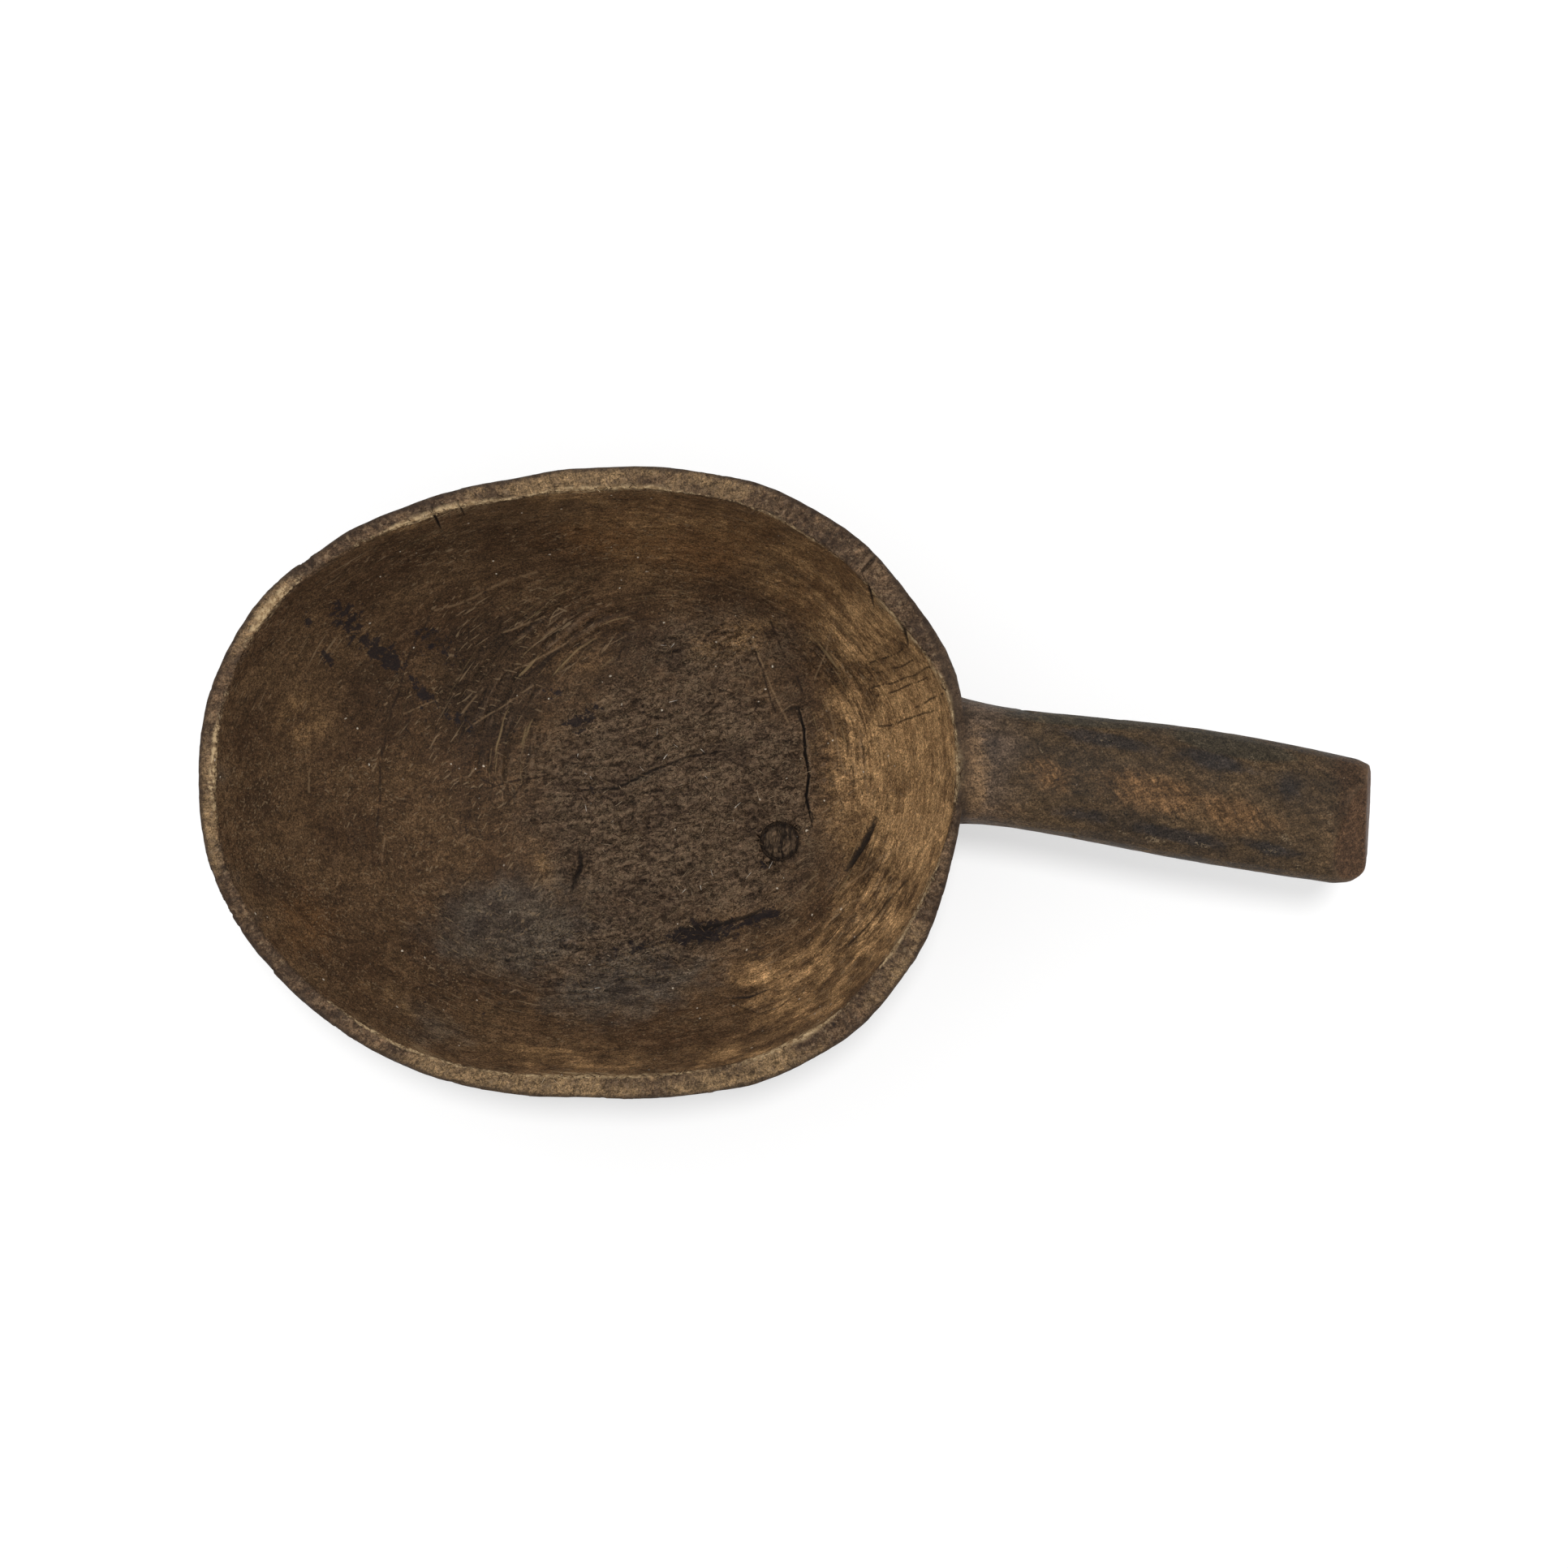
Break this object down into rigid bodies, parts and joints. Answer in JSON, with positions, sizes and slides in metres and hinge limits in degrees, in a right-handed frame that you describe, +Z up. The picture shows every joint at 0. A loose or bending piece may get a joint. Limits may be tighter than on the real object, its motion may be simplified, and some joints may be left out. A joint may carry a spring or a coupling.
{
  "type": "feed scoop",
  "caption": "Hand-carved one-piece wooden scoop: a deep oval bowl with a thick rim and a short, slightly canted handle.",
  "frame": {"origin": "centre of the flat foot, on the ground", "axes": "+X from the foot's centre towards the handle, +Y to the left seen from above, +Z up through the open bowl"},
  "size_m": [0.4354, 0.2332, 0.0958],
  "materials": {
    "carved_wood": "aged, tool-marked, dry",
    "knot_bark": "dead bark, matte",
    "knot_wood": "aged end grain, dry"
  },
  "bodies": {
    "root": {"carved_body": "carved_wood", "knot_bark": "knot_bark", "knot_core": "knot_wood"}
  },
  "joints": []
}
